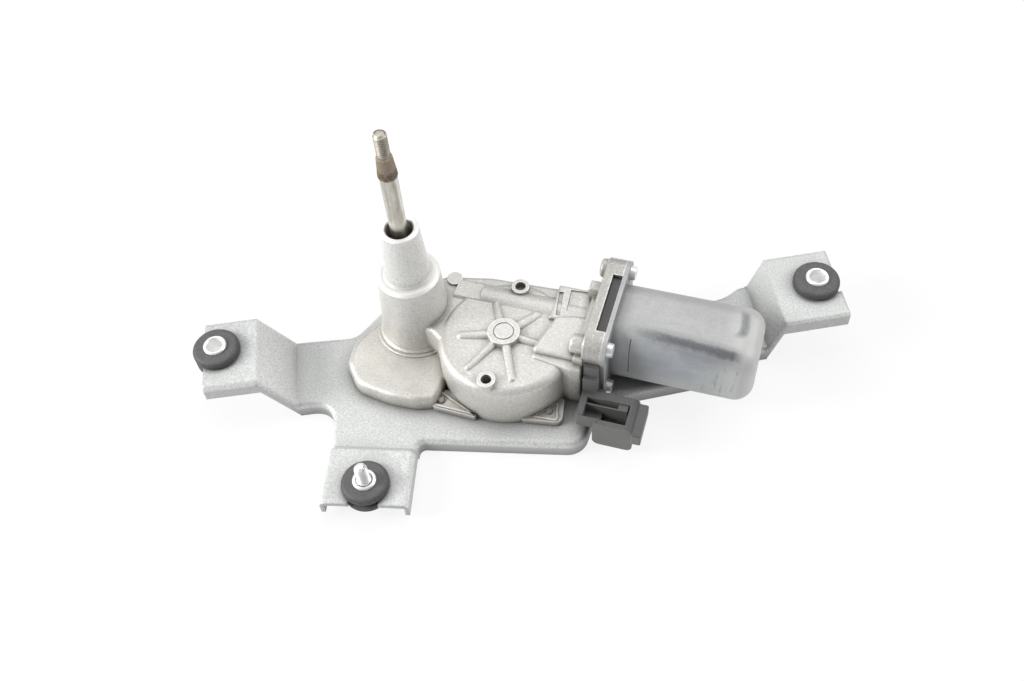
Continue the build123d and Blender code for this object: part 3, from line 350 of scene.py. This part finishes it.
def turn_of(vert, x, y):
    """A vertex's angle round an upright axis."""
    return Vector((vert.co.x - x, vert.co.y - y)).angle_signed(Vector((1, 0)))


def join(work, part):
    """Adds one bmesh to another."""
    mesh = bpy.data.meshes.new("part")
    part.to_mesh(mesh)
    part.free()
    work.from_mesh(mesh)
    bpy.data.meshes.remove(mesh)


def add_thread(work, x, y, low, high, point):
    """Winds a rolled M6 thread round its core; it runs out above the height point."""
    ridge = bmesh.new()
    root, crest = THREAD_CORE - ROOT_SUNK, THREAD_R - CREST_WORN
    section = [(root, -ROOT_HALF), (crest, -CREST_HALF), (crest, CREST_HALF), (root, ROOT_HALF)]
    face = ridge.faces.new([ridge.verts.new((r * MM, 0, (low + half * PITCH) * MM))
                            for r, half in section])
    turns = (high - low) / PITCH
    bmesh.ops.spin(ridge, geom=[face, *face.edges, *face.verts], cent=(0, 0, 0), axis=(0, 0, 1),
                   angle=2 * pi * turns, steps=int(turns * THREAD_STEPS),
                   dvec=(0, 0, PITCH * MM / THREAD_STEPS))
    for vert in ridge.verts:
        r, z = place_of(vert, 0, 0)
        started = min(1.0, max(0.0, (z - low + 0.3) / RUN_IN))
        most = THREAD_CORE + started * (THREAD_R - THREAD_CORE)
        if z > point:
            most = min(most, THREAD_R - (z - point) * POINT_TAPER)
        if r > most:
            set_radius(vert, 0, 0, most / r)
    bmesh.ops.recalc_face_normals(ridge, faces=ridge.faces)
    bmesh.ops.translate(ridge, verts=ridge.verts, vec=(x, y, 0))
    join(work, ridge)


x, y, low, high = middle("mounting_bolt")
sleeve_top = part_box("sleeve_front")[1][2] / MM
bolt = turned([
    (0, low), (HEAD_FACE_R, low), (HEAD_R, low + HEAD_CHAMFER), (HEAD_R, low + HEAD_H),
    (WASHER_R, low + HEAD_H + 0.4), (WASHER_R, low + WASHER_TOP),
    (SHANK_R, low + WASHER_TOP), (SHANK_R, sleeve_top - 0.2),
    (THREAD_CORE, sleeve_top + 0.3), (THREAD_CORE, high - 1.9),
    (2.1, high - 0.75), (1.2, high - 0.15), (0, high),
], x, y)
for vert in bolt.verts:
    r, z = place_of(vert, x, y)
    if HEAD_FACE_R - 0.1 < r < HEAD_R + 0.1 and z < low + HEAD_H + 0.1:
        flat = HEAD_FLAT / cos((turn_of(vert, x, y) % radians(60)) - radians(30))
        set_radius(vert, x, y, flat / r)
add_thread(bolt, x, y, sleeve_top + 0.8, high - 0.6, high - 2.0)
finish_piece("mounting_bolt_threaded", bolt, zinc, "housing", ["mounting_bolt"])

# ---------------------------------------------------------------- gear housing
# An aluminium die casting with a tall tower for the output shaft, a round gear
# chamber with a six-ribbed roof, and a tunnel for the worm. The skin is pale and
# lightly grained. Its rounded edges are lighter with wear and a painted highlight;
# painted highlights also lighten its walls, its high parts and the tower ledges, and
# painted shade darkens the roof, the flange and the gaps.
CHAMBER_Z, PLATEAU_Z, TOWER_Z = (23.0, 25.0), (31.5, 33.5), (24.0, 62.0)
TOWER_END_X, FLANGE_X = (26.0, 30.0), (32.0, 34.5)
SKIN_PALE, SKIN_DARK, SKIN_ROOF_SHADE = (0.66, 0.645, 0.61), (0.53, 0.515, 0.48), (0.37, 0.36, 0.34)
SKIN_SIDE_LIT, SKIN_FLANGE_SHADE, SKIN_TOWER = (0.66, 0.65, 0.625), (0.34, 0.335, 0.32), (0.84, 0.84, 0.83)
GRAIN_DARK, GRAIN_PALE, SKIN_EDGE_WORN_AND_LIT = (0.40, 0.385, 0.355), (0.92, 0.91, 0.875), (0.97, 0.965, 0.94)
SKIN_WARM, SKIN_GAP_SHADE = (0.60, 0.565, 0.49), (0.20, 0.185, 0.165)

cast = Finish("die_cast_skin")
grain = cast.noise(1.0, 4, 0.8)
flow = cast.noise(14, 4, 0.6)
warm = cast.noise(6.0, 4, 0.65, shift=(4, 0, 7)).between(0.48, 0.66)
# Rounded edges: lighter with wear and as a painted highlight.
bright = cast.edges(1.1, 8.0)
up_face = cast.looks_up()
tall, length = cast.along(UP), cast.along(RIGHT)
tower = tall.between(*TOWER_Z) * (1 - length.between(*TOWER_END_X))
# Painted highlight: walls lighter than flat faces, and everything high up lighter.
side_light = 1 - up_face.between(0.2, 0.8)
plateau_light = tall.between(*PLATEAU_Z) * 0.35
# Painted shade: the upward faces of the chamber roof are darker.
roof = tall.between(*CHAMBER_Z) * up_face.between(0.75, 0.95) * (1 - tower)
# Painted highlight on the ledges of the tower.
ledge_highlight = up_face.between(0.35, 0.7) * (tower - 0.45).between(0.0, 0.35) * 0.7
cast.feed(
    Base_Color=cast.layers(
        cast.mix(flow.between(0.35, 0.7), SKIN_PALE, SKIN_DARK),
        (roof * 0.85, SKIN_ROOF_SHADE),
        (side_light * 0.4 + plateau_light, SKIN_SIDE_LIT),
        # Painted shade on the flange between the housing and the can.
        (length.between(*FLANGE_X) * 0.6, SKIN_FLANGE_SHADE),
        (tower * 0.75, SKIN_TOWER),
        (grain.between(0.52, 0.68) * 0.6, GRAIN_DARK),
        ((1 - grain).between(0.54, 0.68) * 0.6, GRAIN_PALE),
        (bright * 0.8 + ledge_highlight, SKIN_EDGE_WORN_AND_LIT),
        (warm * (1 - tower) * 0.35, SKIN_WARM),
        # Painted shade in the gaps and corners.
        (cast.corners(4.5) * 0.8, SKIN_GAP_SHADE),
    ),
    Metallic=0.55 + bright * 0.3,
    Roughness=0.34 + grain * 0.26 + tower * 0.08,
    Normal=cast.relief(grain + flow * 0.5, 0.13, cast.rounded(0.5)),
)
dress(cast, "gear_housing")

EAR_TOP, RIDGE_SUNK, RIDGE_H, RIDGE_W, EAR_ROUND = 11.4, 0.2, 0.9, 0.9, 1.6
EAR_CORNERS = {
    "left": [(-30.6, -23.2), (-32.6, -31.3), (-10.2, -31.9)],
    "right": [(24.5, -14.6), (27.0, -25.3), (14.4, -26.1)],
}
for ear, spots in EAR_CORNERS.items():
    ridge = bmesh.new()
    base = EAR_TOP - RIDGE_SUNK
    ridge.faces.new([ridge.verts.new((px * MM, py * MM, base * MM)) for px, py in spots])
    bmesh.ops.bevel(ridge, geom=ridge.verts[:], offset=EAR_ROUND * MM, segments=4, profile=0.5,
                    affect="VERTICES", material=-1)
    inner = ridge.faces[:]
    bmesh.ops.inset_region(ridge, faces=inner, thickness=RIDGE_W * MM, use_even_offset=True,
                           use_boundary=True)
    bmesh.ops.delete(ridge, geom=inner, context="FACES_ONLY")
    grown = bmesh.ops.extrude_face_region(ridge, geom=ridge.faces[:], use_keep_orig=True)
    raised = [item for item in grown["geom"] if isinstance(item, bmesh.types.BMVert)]
    bmesh.ops.translate(ridge, verts=raised, vec=(0, 0, RIDGE_H * MM))
    bmesh.ops.recalc_face_normals(ridge, faces=ridge.faces)
    finish_piece("ear_ridge_" + ear, ridge, cast, "housing")

# ---------------------------------------------------------------- cover and seals
# Four tinned screws pass up through the bracket into the housing and clamp a thin
# black gasket. A rubber lip seal closes the top of the tower round the shaft.
tin = Finish("dull_tin", Metallic=0.8)
matt = tin.noise(1.0, 3, 0.6)
tin.feed(
    Base_Color=tin.mix(matt, (0.42, 0.415, 0.40), (0.30, 0.295, 0.28)),
    Roughness=0.45 + matt * 0.2,
    Normal=tin.relief(matt, 0.01, tin.rounded(0.15)),
)
dress(tin, "cover_screws")
dress(rubber, "shaft_seal", "housing_gasket")

# ---------------------------------------------------------------- output shaft
# An 8 mm ground steel shaft in the tower. Above it a knurled cone grips the wiper
# arm and an M6 thread takes its nut; both have gone brown in the weather, and the
# ground part below is bright with a few stains. Painted shade darkens the furrows
# of the knurl and the thread.
SHAFT_R, SHAFT_CHAMFER = 4.0, 0.4
RING_GROOVE_R, RING_GROOVE_Z = 3.6, (72.2, 73.3)
KNURL_LOW, KNURL_HIGH = 120.6, 131.4
KNURL_R_LOW, KNURL_R_HIGH, KNURL_DEPTH, NOTCHES = 4.45, 3.5, 0.045, 36
THREAD_Z = 132.3
STEEL_BRIGHT, STEEL_STAINED = (0.74, 0.72, 0.665), (0.50, 0.475, 0.405)
RUST_BROWN, RUST_RING, GROOVE_SHADE = (0.34, 0.285, 0.215), (0.13, 0.09, 0.06), (0.12, 0.10, 0.08)

steel = Finish("weathered_shaft_steel")
tall = steel.along(UP)
streak = steel.noise(2.4, 4, 0.65, stretch=(1, 1, 0.25))
stain = steel.noise(1.6, 5, 0.7)
past_knurl = tall.between(KNURL_HIGH - 1.0, KNURL_HIGH + 2.0)
weather = tall.between(KNURL_LOW - 1.5, KNURL_LOW + 0.6) * (1 - past_knurl * 0.35)
rust = (weather * (0.55 + stain)).between(0.45, 0.95)
ring_top = tall.between(KNURL_LOW + 3.6, KNURL_LOW + 4.6)
rust_ring = tall.between(KNURL_LOW - 1.0, KNURL_LOW) * (1 - ring_top)
# Painted shade in the furrows of the knurl and the thread.
grooves = steel.corners(1.3) * tall.between(KNURL_LOW, KNURL_LOW + 1.0)
steel.feed(
    Base_Color=steel.layers(
        steel.mix(streak.between(0.40, 0.72), STEEL_BRIGHT, STEEL_STAINED),
        (rust, RUST_BROWN),
        (rust_ring * stain.between(0.3, 0.55) * 0.8, RUST_RING),
        (grooves * 0.7, GROOVE_SHADE),
    ),
    Metallic=1 - rust * 0.7,
    Roughness=0.24 + streak * 0.16 + rust * 0.4,
    Normal=steel.relief(stain * rust, 0.06, steel.rounded(0.12)),
)

x, y, low, high = middle("output_shaft")
shaft = turned([
    (0, low), (SHAFT_R - SHAFT_CHAMFER, low), (SHAFT_R, low + SHAFT_CHAMFER),
    (SHAFT_R, RING_GROOVE_Z[0]), (RING_GROOVE_R, RING_GROOVE_Z[0]),
    (RING_GROOVE_R, RING_GROOVE_Z[1]), (SHAFT_R, RING_GROOVE_Z[1]),
    (SHAFT_R, KNURL_LOW - 0.8), (4.2, KNURL_LOW - 0.2), (4.1, KNURL_LOW + 0.2),
    (3.2, KNURL_HIGH), (2.6, KNURL_HIGH + 0.3),
    (THREAD_CORE, KNURL_HIGH + 0.6), (THREAD_CORE, high - 0.9),
    (2.0, high - 0.25), (1.6, high), (0, high),
], x, y)
cone = bmesh.new()
bmesh.ops.create_cone(cone, cap_ends=True, segments=NOTCHES * 4, radius1=KNURL_R_LOW * MM,
                      radius2=KNURL_R_HIGH * MM, depth=(KNURL_HIGH - KNURL_LOW) * MM)
bmesh.ops.translate(cone, verts=cone.verts, vec=(x, y, (KNURL_LOW + KNURL_HIGH) / 2 * MM))
for vert in cone.verts:
    notch = (1 - cos(turn_of(vert, x, y) * NOTCHES)) / 2
    set_radius(vert, x, y, 1 - KNURL_DEPTH * notch)
rims = [edge for edge in cone.edges if abs(edge.verts[0].co.z - edge.verts[1].co.z) < 1e-6]
bmesh.ops.bevel(cone, geom=rims, offset=0.25 * MM, segments=1, profile=0.5, affect="EDGES",
                material=-1)
join(shaft, cone)
add_thread(shaft, x, y, THREAD_Z, high - 0.5, high - 0.9)
finish_piece("output_shaft_turned", shaft, steel, "output", ["output_shaft"])

# ---------------------------------------------------------------- bushes and washers
# Two sintered bronze bushes, soaked in oil, carry the output shaft in the tower,
# and hardened washers with a snap ring hold it endwise.
bronze = Finish("oily_bronze", Metallic=1.0)
oil = bronze.noise(1.4, 4, 0.6)
bronze.feed(
    Base_Color=bronze.mix(oil, (0.62, 0.44, 0.22), (0.38, 0.26, 0.13)),
    Roughness=0.35 + oil * 0.25,
    Normal=bronze.relief(bronze.noise(0.3, 2, 0.5), 0.01, bronze.rounded(0.15)),
)
dress(bronze, "tower_bushes")

hard = Finish("greased_gear_steel", Metallic=1.0)
film = hard.noise(4.0, 4, 0.6)
hard.feed(
    Base_Color=hard.mix(film.between(0.4, 0.7), (0.46, 0.46, 0.46), (0.30, 0.27, 0.22)),
    Roughness=0.3 + film * 0.25,
    Normal=hard.relief(hard.noise(0.6, 3, 0.6), 0.01, hard.rounded(0.15)),
)
dress(hard, "thrust_washers", "retaining_ring")

# ---------------------------------------------------------------- gears and linkage
# The worm wheel is a pale moulding with a copper park disc pressed on it. Its crank
# pin drives a steel rod, and the rod swings a sector that turns the shaft's pinion.
nylon = Finish("pale_gear_moulding", Subsurface_Weight=0.08)
shade = nylon.noise(6.0, 3, 0.6)
nylon.feed(
    Base_Color=nylon.mix(shade, (0.84, 0.82, 0.76), (0.72, 0.69, 0.60)),
    Roughness=0.35 + shade * 0.15,
    Normal=nylon.relief(nylon.noise(0.5, 2, 0.5), 0.01, nylon.rounded(0.2)),
)
dress(nylon, "worm_wheel")

copper = Finish("bare_copper", Metallic=1.0)
tarnish = copper.noise(2.0, 4, 0.65)
copper.feed(
    Base_Color=copper.mix(tarnish, (0.86, 0.46, 0.27), (0.46, 0.22, 0.12)),
    Roughness=0.25 + tarnish * 0.25,
    Normal=copper.relief(copper.noise(0.35, 2, 0.5, stretch=(0.2, 1, 1)), 0.02),
)
dress(copper, "park_disc")
dress(hard, "output_pinion", "sector_gear", "connecting_rod")
dress(zinc, "crank_pin", "arm_pin", "sector_pin", "wheel_spindle")

# ---------------------------------------------------------------- armature
# The motor shaft carries a laminated core, its copper windings and a commutator,
# and has the worm cut on its far end. Bronze bearings hold it, and a ball and a
# moulded plug take its end thrust.
dress(steel, "armature_shaft")
dress(hard, "armature_core")
dress(copper, "armature_windings", "commutator")
dress(bronze, "motor_bearings")
dress(zinc, "thrust_ball")
dress(nylon, "thrust_plug")

# ---------------------------------------------------------------- motor can
# A deep-drawn oval steel can screwed to the housing's square flange, zinc coated
# blue-grey. It has a long scuff along the draw, a bluish smear under it, and dark
# rubbed marks near its closed end. Painted highlights lighten its sides, its closed
# end and its edges, and painted shade darkens it in the gaps next to other parts.
CREASE_LEAN, CREASE_Y, CREASE_X, CREASE_END = 0.062, 15.0, (46.0, 70.0), (99.0, 104.0)
BOW_X, BOW_Y, BOW_HALF = 101.5, 26.0, 8.333
SMEAR_LOW, SMEAR_HIGH, SMEAR_Y = (20.0, 29.0), (40.5, 43.0), (12.0, 15.0)
SMEAR_X, SMEAR_END = (42.0, 60.0), (82.0, 99.0)
NICKS_X, NICKS_END, CAN_END_X = (84.0, 93.0), (103.0, 106.0), (92.0, 106.0)
CAN_GREY, CAN_PATCH, CAN_MOTTLE = (0.45, 0.455, 0.45), (0.40, 0.405, 0.40), (0.36, 0.36, 0.35)
CAN_FLECK, CAN_SIDE_LIT, CAN_END_LIT = (0.31, 0.315, 0.32), (0.50, 0.515, 0.525), (0.60, 0.605, 0.59)
BLUE_SMEAR, SCUFF, NICK = (0.29, 0.32, 0.37), (0.14, 0.145, 0.155), (0.24, 0.245, 0.25)
BOW_MARK, CAN_EDGE_LIT, CAN_GAP_SHADE = (0.15, 0.155, 0.165), (0.72, 0.725, 0.715), (0.15, 0.15, 0.155)

can = Finish("drawn_zinc_can")
along, across, upward = can.along(RIGHT), can.along(BACK), can.along(UP)
mottle = can.noise(5.0, 4, 0.65)
patch = can.noise(14, 4, 0.6, stretch=(0.6, 1, 1))
fleck = can.noise(0.9, 4, 0.8)
# Faces that do not look up: painted lighter as a highlight, and the only place for the nicks.
lower = 1 - can.looks_up().between(0.1, 0.85)

off_crease = (along * CREASE_LEAN + across - CREASE_Y + (mottle - 0.5) * 3.0) ** 2
crease_width = (1 - off_crease.between(0.3, 6.0)) * 0.6 + (1 - off_crease.between(2.0, 26.0)) * 0.4
crease_length = along.between(*CREASE_X) * (1 - along.between(*CREASE_END))
crease = crease_width * crease_length * (0.6 + fleck * 0.8)

nick_spots = can.noise(3.0, 3, 0.7, stretch=(1.6, 1.6, 0.35)).between(0.56, 0.66)
nicks = nick_spots * along.between(*NICKS_X) * (1 - along.between(*NICKS_END)) * lower

swing = (across - BOW_Y) * (1.0 / BOW_HALF)
off_bow = (along - BOW_X + swing * swing * 1.6 + (mottle - 0.5) * 2.0) ** 2
bow = (1 - off_bow.between(0.2, 7.0)) * (1 - swing * swing).between(0.0, 0.6) * (0.35 + fleck)

band = upward.between(*SMEAR_LOW) * (1 - upward.between(*SMEAR_HIGH))
smear_length = along.between(*SMEAR_X) * (1 - along.between(*SMEAR_END))
smear = patch.between(0.28, 0.55) * band * (1 - across.between(*SMEAR_Y)) * smear_length
can.feed(
    Base_Color=can.layers(
        can.mix(patch.between(0.38, 0.7), CAN_GREY, CAN_PATCH),
        (mottle.between(0.45, 0.65) * 0.5, CAN_MOTTLE),
        (fleck.between(0.42, 0.60) * 0.45, CAN_FLECK),
        # Painted highlight: the sides lighter than the top.
        (lower * 0.4, CAN_SIDE_LIT),
        # Painted highlight on the closed end.
        (along.between(*CAN_END_X) * 0.6, CAN_END_LIT),
        (smear * 0.7, BLUE_SMEAR),
        (crease, SCUFF),
        (nicks * 0.6, NICK),
        (bow * 0.9, BOW_MARK),
        # Painted highlight on the edges.
        (can.edges(1.0, 4.0) * 0.5, CAN_EDGE_LIT),
        # Painted shade in the gaps next to other parts.
        (can.corners(5.0) * 0.7, CAN_GAP_SHADE),
    ),
    Metallic=0.3 + crease * 0.2,
    Roughness=0.45 + fleck * 0.16,
    Normal=can.relief(mottle * 0.6 + fleck * 0.4, 0.04, can.rounded(0.5)),
)
dress(can, "motor_yoke")
dress(zinc, "flange_screws")

# ---------------------------------------------------------------- magnets and brushes
# Two fired ferrite segments line the can. Two carbon brushes, as dark and matt as
# the ferrite, ride on the commutator under small coil springs.
ferrite = Finish("ferrite")
fired = ferrite.noise(0.8, 3, 0.6)
ferrite.feed(
    Base_Color=ferrite.mix(fired, (0.07, 0.07, 0.075), (0.13, 0.13, 0.135)),
    Roughness=0.5 + fired * 0.2,
    Normal=ferrite.relief(fired, 0.02, ferrite.rounded(0.2)),
)
dress(ferrite, "magnets", "brushes")
dress(zinc, "brush_springs")

# ---------------------------------------------------------------- plug socket
# The brush holder and the plug socket are one dark moulding clamped between the
# can and the housing, satin with a fine spark texture and pale scuffed edges. Its
# walls carry a painted highlight that makes them lighter than its tops. Four
# tinned blades stand in the socket.
MOULDING_TOP, MOULDING_WALL_LIT = (0.055, 0.055, 0.056), (0.155, 0.157, 0.15)
MOULDING_SCUFF = (0.24, 0.24, 0.24)

plastic = Finish("dark_moulding")
spark = plastic.noise(0.35, 3, 0.6)
haze = plastic.noise(7.0, 3, 0.6)
scuffed = plastic.edges(0.5, 4.0) * plastic.noise(1.8, 4, 0.7).between(0.35, 0.7)
upright = 1 - plastic.looks_up().between(0.3, 0.9)
plastic.feed(
    Base_Color=plastic.layers(
        # Painted highlight: walls lighter than tops; the haze varies the tone at random.
        plastic.mix(haze * 0.4 + upright * 0.6, MOULDING_TOP, MOULDING_WALL_LIT),
        (scuffed * 0.6, MOULDING_SCUFF),
    ),
    Roughness=0.40 + spark * 0.2,
    Normal=plastic.relief(spark, 0.02, plastic.rounded(0.35)),
)
dress(plastic, "brush_holder")
dress(tin, "connector_terminals")

# ---------------------------------------------------------------- bench, lamps and air
# A plain pale bench top under broad soft lamps. The bench keeps the part's faint
# shadow, and seen directly it is close to white.
BENCH_PALE, AIR_GREY, WHITE = (0.86, 0.86, 0.86), (0.32, 0.32, 0.32), (1, 1, 1)
BENCH_GLOW = 0.86
BENCH_HALF = 4.0

board = Finish("pale_bench", Base_Color=BENCH_PALE, Roughness=0.9)
seen = sum(board.node("ShaderNodeLightPath", out=f"Is {ray} Ray")
           for ray in ("Camera", "Glossy", "Transmission"))
lit = Level(board, board.shader.outputs[0])
glow = board.node("ShaderNodeEmission", {}, {"Color": WHITE, "Strength": 1.0})
share = seen.between(0.0, 1.0) * BENCH_GLOW
board.plug(board.tree.nodes["Material Output"].inputs["Surface"],
           board.node("ShaderNodeMixShader", {}, {0: share, 1: lit, 2: glow}))
work = bmesh.new()
bmesh.ops.create_grid(work, x_segments=8, y_segments=8, size=BENCH_HALF)
bench_mesh = bpy.data.meshes.new("bench_top")
work.to_mesh(bench_mesh)
work.free()
bench = bpy.data.objects.new("bench_top", bench_mesh)
scene.collection.objects.link(bench)
bench_mesh.materials.append(board.material)


def lamp(name, where, size, power):
    """A soft square lamp hung at a place and aimed at the motor."""
    light = bpy.data.lights.new(name, "AREA")
    light.shape, light.size, light.energy = "SQUARE", size, power
    holder = bpy.data.objects.new(name, light)
    holder.location = where
    aim = Vector((0, 0, 0.03)) - Vector(where)
    holder.rotation_euler = aim.to_track_quat("-Z", "Y").to_euler()
    scene.collection.objects.link(holder)


lamp("overhead_lamp", (-0.1, 0.5, 1.15), 1.1, 8)
lamp("left_lamp", (-1.1, -0.5, 0.75), 0.5, 18)
lamp("right_lamp", (1.2, 0.5, 0.8), 0.7, 9)

air = bpy.data.worlds.new("studio_air")
scene.world = air
air.use_nodes = True
sky = Wiring(air.node_tree)
backdrop = sky.tree.nodes["Background"]
sky.plug(backdrop.inputs["Color"], AIR_GREY)
white = sky.node("ShaderNodeBackground", {}, {"Color": WHITE})
direct = sky.node("ShaderNodeLightPath", out="Is Camera Ray")
around = {0: direct, 1: Level(sky, backdrop.outputs[0]), 2: white}
sky.plug(sky.tree.nodes["World Output"].inputs["Surface"],
         sky.node("ShaderNodeMixShader", {}, around))
